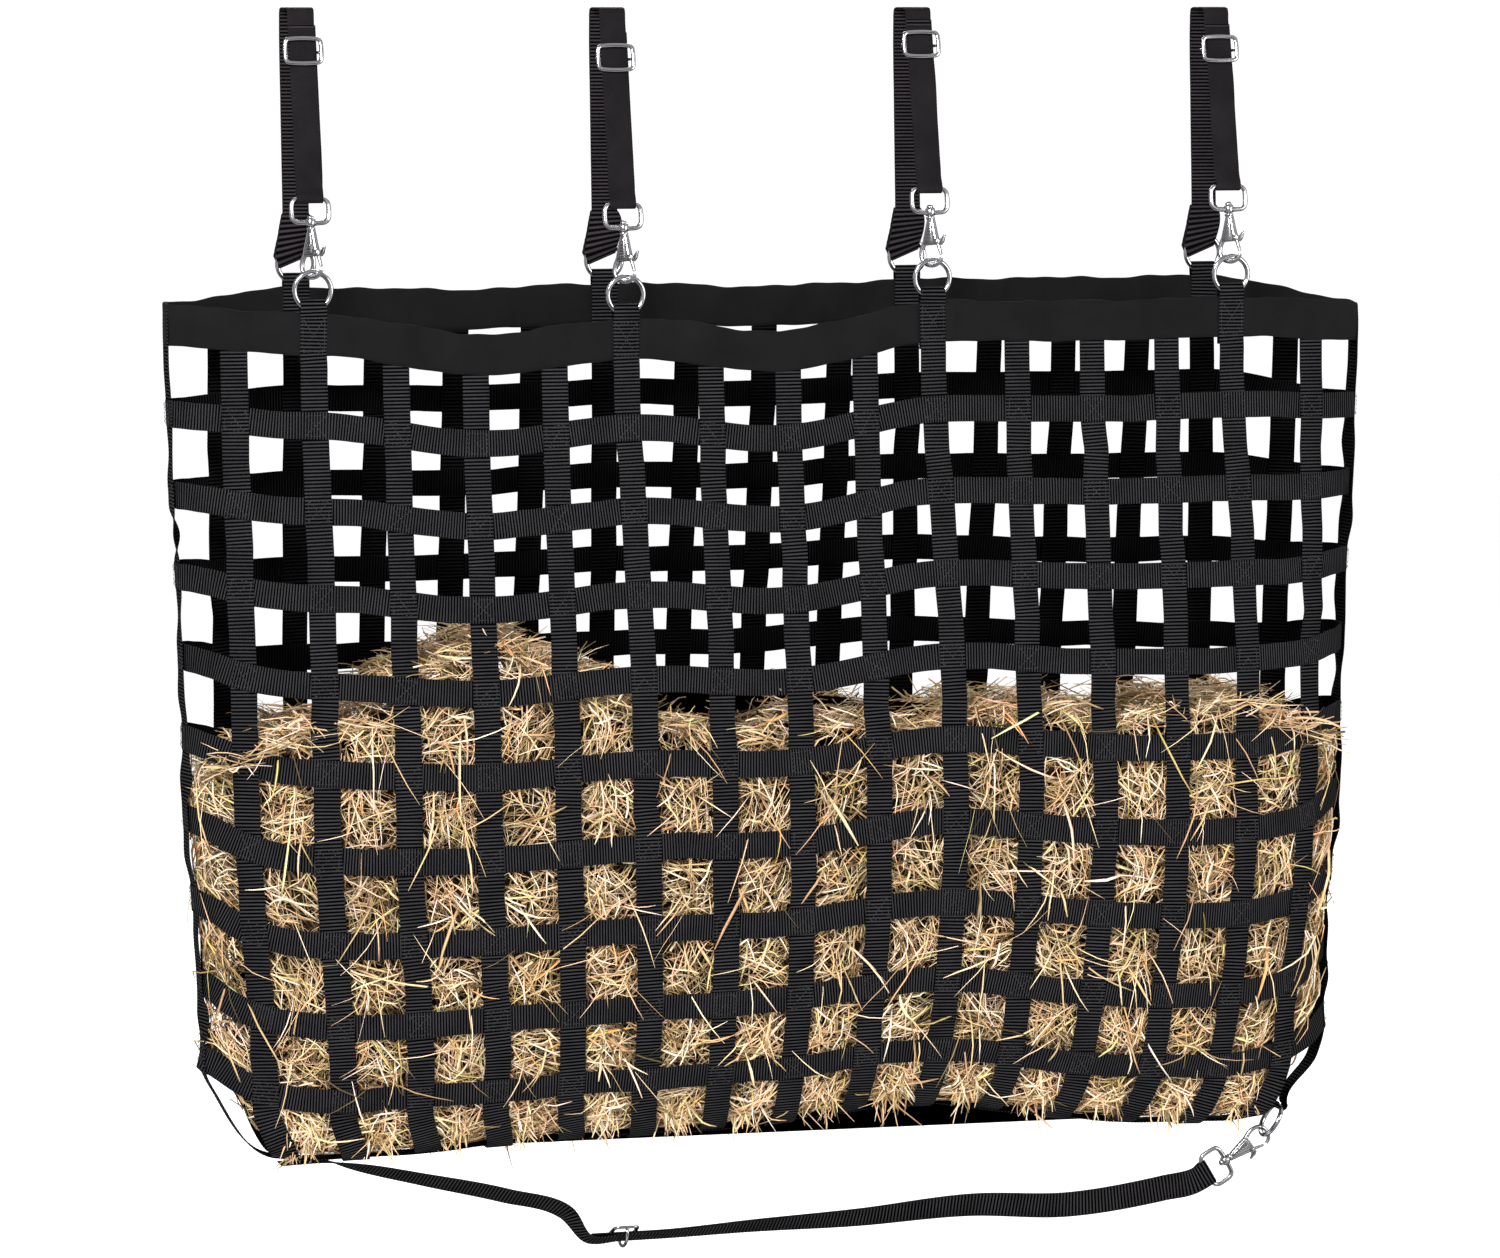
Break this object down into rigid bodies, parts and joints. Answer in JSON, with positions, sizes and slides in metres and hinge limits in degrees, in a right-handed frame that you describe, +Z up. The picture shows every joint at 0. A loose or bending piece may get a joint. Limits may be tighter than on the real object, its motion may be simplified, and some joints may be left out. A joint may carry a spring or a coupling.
{
  "type": "slow feed hay net",
  "caption": "Woven webbing hay bag with a taped rim, hung from a rail by adjustable straps with snap hooks and rings, and a clip-on strap below.",
  "frame": {"origin": "bottom centre of the whole object's box, under the middle of the mouth", "axes": "+Z up, +X along the length of the net, +Y to the rear, from the face with the snaps to the face behind"},
  "size_m": [1.1862, 0.1944, 1.193],
  "materials": {
    "webbing": "ribbed black webbing, matt with a faint sheen",
    "rim_tape": "plain black tape, matt",
    "strap_twill": "black webbing with a fine twill face, matt",
    "nickel": "nickel-plated wire, polished",
    "zinc_cast": "nickel-plated casting, bright"
  },
  "bodies": {
    "net": {"rim_band": "rim_tape", "band_1": "webbing", "band_2": "webbing", "band_3": "webbing", "band_4": "webbing", "band_5": "webbing", "band_6": "webbing", "band_7": "webbing", "band_8": "webbing", "band_9": "webbing", "upright_01": "webbing", "upright_02": "webbing", "upright_03": "webbing", "upright_04": "webbing", "upright_05": "webbing", "upright_06": "webbing", "upright_07": "webbing", "upright_08": "webbing", "upright_09": "webbing", "upright_10": "webbing", "upright_11": "webbing", "upright_12": "webbing", "upright_13": "webbing", "upright_14": "webbing", "upright_15": "webbing", "side_and_bottom_strap": "webbing"},
    "rear_ring_1_body": {"rear_ring_1": "nickel"},
    "hanger_1_body": {"hanger_strap_1": "strap_twill"},
    "slide_buckle_1_body": {"slide_buckle_1": "nickel"},
    "swivel_eye_1_body": {"swivel_eye_1": "zinc_cast"},
    "snap_hook_1_body": {"snap_hook_1": "zinc_cast"},
    "snap_gate_1_body": {"snap_gate_1": "zinc_cast"},
    "front_ring_1_body": {"front_ring_1": "nickel"},
    "rear_ring_2_body": {"rear_ring_2": "nickel"},
    "hanger_2_body": {"hanger_strap_2": "strap_twill"},
    "slide_buckle_2_body": {"slide_buckle_2": "nickel"},
    "swivel_eye_2_body": {"swivel_eye_2": "zinc_cast"},
    "snap_hook_2_body": {"snap_hook_2": "zinc_cast"},
    "snap_gate_2_body": {"snap_gate_2": "zinc_cast"},
    "front_ring_2_body": {"front_ring_2": "nickel"},
    "rear_ring_3_body": {"rear_ring_3": "nickel"},
    "hanger_3_body": {"hanger_strap_3": "strap_twill"},
    "slide_buckle_3_body": {"slide_buckle_3": "nickel"},
    "swivel_eye_3_body": {"swivel_eye_3": "zinc_cast"},
    "snap_hook_3_body": {"snap_hook_3": "zinc_cast"},
    "snap_gate_3_body": {"snap_gate_3": "zinc_cast"},
    "front_ring_3_body": {"front_ring_3": "nickel"},
    "rear_ring_4_body": {"rear_ring_4": "nickel"},
    "hanger_4_body": {"hanger_strap_4": "strap_twill"},
    "slide_buckle_4_body": {"slide_buckle_4": "nickel"},
    "swivel_eye_4_body": {"swivel_eye_4": "zinc_cast"},
    "snap_hook_4_body": {"snap_hook_4": "zinc_cast"},
    "snap_gate_4_body": {"snap_gate_4": "zinc_cast"},
    "front_ring_4_body": {"front_ring_4": "nickel"},
    "bottom_swivel_eye_body": {"bottom_swivel_eye": "zinc_cast"},
    "bottom_snap_hook_body": {"bottom_snap_hook": "zinc_cast"},
    "bottom_snap_gate_body": {"bottom_snap_gate": "zinc_cast"},
    "bottom_slide_buckle_body": {"bottom_slide_buckle": "nickel"},
    "bottom_strap_body": {"bottom_strap": "strap_twill"},
    "corner_ring_body": {"corner_ring": "nickel"}
  },
  "joints": [
    {"name": "rear_ring_1_tilt", "type": "hinge", "parent": "net", "child": "rear_ring_1_body", "pos_m": [-0.45917, 0.04008, 0.9359], "axis": [1, 0, 0], "range_deg": [-10, 7.5]},
    {"name": "hanger_1_swing", "type": "hinge", "parent": "rear_ring_1_body", "child": "hanger_1_body", "pos_m": [-0.45917, 0.04008, 0.9711], "axis": [1, 0, 0], "range_deg": [-7.5, 10]},
    {"name": "front_ring_1_tilt", "type": "hinge", "parent": "net", "child": "front_ring_1_body", "pos_m": [-0.45917, -0.04008, 0.9144], "axis": [1, 0, 0], "range_deg": [-14, 10.5]},
    {"name": "swivel_eye_1_tilt", "type": "hinge", "parent": "hanger_1_body", "child": "swivel_eye_1_body", "pos_m": [-0.45917, -0.02885, 1.01667], "axis": [1, 0, 0], "range_deg": [-2.2, 2.2]},
    {"name": "slide_buckle_1_slide", "type": "slide", "parent": "hanger_1_body", "child": "slide_buckle_1_body", "axis": [0, 0.2054, 0.9787], "range_m": [-0.02, 0.012]},
    {"name": "snap_hook_1_swivel", "type": "hinge", "parent": "swivel_eye_1_body", "child": "snap_hook_1_body", "pos_m": [-0.45917, -0.03257, 0.99448], "axis": [0, 0.165, 0.9863], "range_deg": [-100, 0]},
    {"name": "snap_gate_1_open", "type": "hinge", "parent": "snap_hook_1_body", "child": "snap_gate_1_body", "pos_m": [-0.45458, -0.04116, 0.96651], "axis": [0.6428, 0.7555, -0.1264], "range_deg": [0, 25], "stiffness_Nm_per_rad": 0.02},
    {"name": "rear_ring_2_tilt", "type": "hinge", "parent": "net", "child": "rear_ring_2_body", "pos_m": [-0.15934, 0.04123, 0.9359], "axis": [1, 0, 0], "range_deg": [-10, 7.5]},
    {"name": "hanger_2_swing", "type": "hinge", "parent": "rear_ring_2_body", "child": "hanger_2_body", "pos_m": [-0.15934, 0.04123, 0.9711], "axis": [1, 0, 0], "range_deg": [-7.5, 10]},
    {"name": "front_ring_2_tilt", "type": "hinge", "parent": "net", "child": "front_ring_2_body", "pos_m": [-0.15934, -0.04123, 0.9064], "axis": [1, 0, 0], "range_deg": [-14, 10.5]},
    {"name": "swivel_eye_2_tilt", "type": "hinge", "parent": "hanger_2_body", "child": "swivel_eye_2_body", "pos_m": [-0.15934, -0.03001, 1.00867], "axis": [1, 0, 0], "range_deg": [-2.2, 2.2]},
    {"name": "slide_buckle_2_slide", "type": "slide", "parent": "hanger_2_body", "child": "slide_buckle_2_body", "axis": [0, 0.2027, 0.9792], "range_m": [-0.02, 0.012]},
    {"name": "snap_hook_2_swivel", "type": "hinge", "parent": "swivel_eye_2_body", "child": "snap_hook_2_body", "pos_m": [-0.15934, -0.03372, 0.98648], "axis": [0, 0.165, 0.9863], "range_deg": [-100, 0]},
    {"name": "snap_gate_2_open", "type": "hinge", "parent": "snap_hook_2_body", "child": "snap_gate_2_body", "pos_m": [-0.15474, -0.04231, 0.95851], "axis": [0.6428, 0.7555, -0.1264], "range_deg": [0, 25], "stiffness_Nm_per_rad": 0.02},
    {"name": "rear_ring_3_tilt", "type": "hinge", "parent": "net", "child": "rear_ring_3_body", "pos_m": [0.14348, 0.04123, 0.9359], "axis": [1, 0, 0], "range_deg": [-10, 7.5]},
    {"name": "hanger_3_swing", "type": "hinge", "parent": "rear_ring_3_body", "child": "hanger_3_body", "pos_m": [0.14348, 0.04123, 0.9711], "axis": [1, 0, 0], "range_deg": [-7.5, 10]},
    {"name": "front_ring_3_tilt", "type": "hinge", "parent": "net", "child": "front_ring_3_body", "pos_m": [0.14348, -0.04123, 0.9184], "axis": [1, 0, 0], "range_deg": [-14, 10.5]},
    {"name": "swivel_eye_3_tilt", "type": "hinge", "parent": "hanger_3_body", "child": "swivel_eye_3_body", "pos_m": [0.14348, -0.03001, 1.02067], "axis": [1, 0, 0], "range_deg": [-2.2, 2.2]},
    {"name": "slide_buckle_3_slide", "type": "slide", "parent": "hanger_3_body", "child": "slide_buckle_3_body", "axis": [0, 0.2164, 0.9763], "range_m": [-0.02, 0.012]},
    {"name": "snap_hook_3_swivel", "type": "hinge", "parent": "swivel_eye_3_body", "child": "snap_hook_3_body", "pos_m": [0.14348, -0.03372, 0.99848], "axis": [0, 0.165, 0.9863], "range_deg": [-100, 0]},
    {"name": "snap_gate_3_open", "type": "hinge", "parent": "snap_hook_3_body", "child": "snap_gate_3_body", "pos_m": [0.14807, -0.04231, 0.97051], "axis": [0.6428, 0.7555, -0.1264], "range_deg": [0, 25], "stiffness_Nm_per_rad": 0.02},
    {"name": "rear_ring_4_tilt", "type": "hinge", "parent": "net", "child": "rear_ring_4_body", "pos_m": [0.44728, 0.04008, 0.9359], "axis": [1, 0, 0], "range_deg": [-10, 7.5]},
    {"name": "hanger_4_swing", "type": "hinge", "parent": "rear_ring_4_body", "child": "hanger_4_body", "pos_m": [0.44728, 0.04008, 0.9711], "axis": [1, 0, 0], "range_deg": [-7.5, 10]},
    {"name": "front_ring_4_tilt", "type": "hinge", "parent": "net", "child": "front_ring_4_body", "pos_m": [0.44728, -0.04008, 0.9184], "axis": [1, 0, 0], "range_deg": [-14, 10.5]},
    {"name": "swivel_eye_4_tilt", "type": "hinge", "parent": "hanger_4_body", "child": "swivel_eye_4_body", "pos_m": [0.44728, -0.02885, 1.02067], "axis": [1, 0, 0], "range_deg": [-2.2, 2.2]},
    {"name": "slide_buckle_4_slide", "type": "slide", "parent": "hanger_4_body", "child": "slide_buckle_4_body", "axis": [0, 0.2101, 0.9777], "range_m": [-0.02, 0.012]},
    {"name": "snap_hook_4_swivel", "type": "hinge", "parent": "swivel_eye_4_body", "child": "snap_hook_4_body", "pos_m": [0.44728, -0.03257, 0.99848], "axis": [0, 0.165, 0.9863], "range_deg": [-100, 0]},
    {"name": "snap_gate_4_open", "type": "hinge", "parent": "snap_hook_4_body", "child": "snap_gate_4_body", "pos_m": [0.45187, -0.04116, 0.97051], "axis": [0.6428, 0.7555, -0.1264], "range_deg": [0, 25], "stiffness_Nm_per_rad": 0.02},
    {"name": "bottom_strap_swing", "type": "hinge", "parent": "net", "child": "bottom_strap_body", "pos_m": [-0.46, 0, 0.10261], "axis": [1, 0, 0.0058], "range_deg": [-8, 8]},
    {"name": "corner_ring_rock", "type": "hinge", "parent": "net", "child": "corner_ring_body", "pos_m": [0.521, 0, 0.10829], "axis": [0, 1, 0], "range_deg": [0, 4]},
    {"name": "bottom_slide_buckle_slide", "type": "slide", "parent": "bottom_strap_body", "child": "bottom_slide_buckle_body", "axis": [-1, 0, 0], "range_m": [-0.015, 0.015]},
    {"name": "bottom_swivel_eye_tilt", "type": "hinge", "parent": "bottom_strap_body", "child": "bottom_swivel_eye_body", "pos_m": [0.44511, 0, 0.04278], "axis": [0.515, 0, -0.8572], "range_deg": [-2, 2]},
    {"name": "bottom_snap_hook_swivel", "type": "hinge", "parent": "bottom_swivel_eye_body", "child": "bottom_snap_hook_body", "pos_m": [0.4644, 0, 0.05437], "axis": [-0.8572, 0, -0.515], "range_deg": [-30, 30]},
    {"name": "bottom_snap_gate_open", "type": "hinge", "parent": "bottom_snap_hook_body", "child": "bottom_snap_gate_body", "pos_m": [0.49235, 0, 0.06417], "axis": [0, -1, 0], "range_deg": [0, 25], "stiffness_Nm_per_rad": 0.02}
  ],
  "couplings": [
    {"joint": "hanger_1_swing", "follows": "rear_ring_1_tilt", "ratio": -1},
    {"joint": "front_ring_1_tilt", "follows": "rear_ring_1_tilt", "ratio": 1.4},
    {"joint": "swivel_eye_1_tilt", "follows": "rear_ring_1_tilt", "ratio": -0.2052},
    {"joint": "hanger_2_swing", "follows": "rear_ring_2_tilt", "ratio": -1},
    {"joint": "front_ring_2_tilt", "follows": "rear_ring_2_tilt", "ratio": 1.4},
    {"joint": "swivel_eye_2_tilt", "follows": "rear_ring_2_tilt", "ratio": -0.2052},
    {"joint": "hanger_3_swing", "follows": "rear_ring_3_tilt", "ratio": -1},
    {"joint": "front_ring_3_tilt", "follows": "rear_ring_3_tilt", "ratio": 1.4},
    {"joint": "swivel_eye_3_tilt", "follows": "rear_ring_3_tilt", "ratio": -0.2052},
    {"joint": "hanger_4_swing", "follows": "rear_ring_4_tilt", "ratio": -1},
    {"joint": "front_ring_4_tilt", "follows": "rear_ring_4_tilt", "ratio": 1.4},
    {"joint": "swivel_eye_4_tilt", "follows": "rear_ring_4_tilt", "ratio": -0.2052}
  ]
}
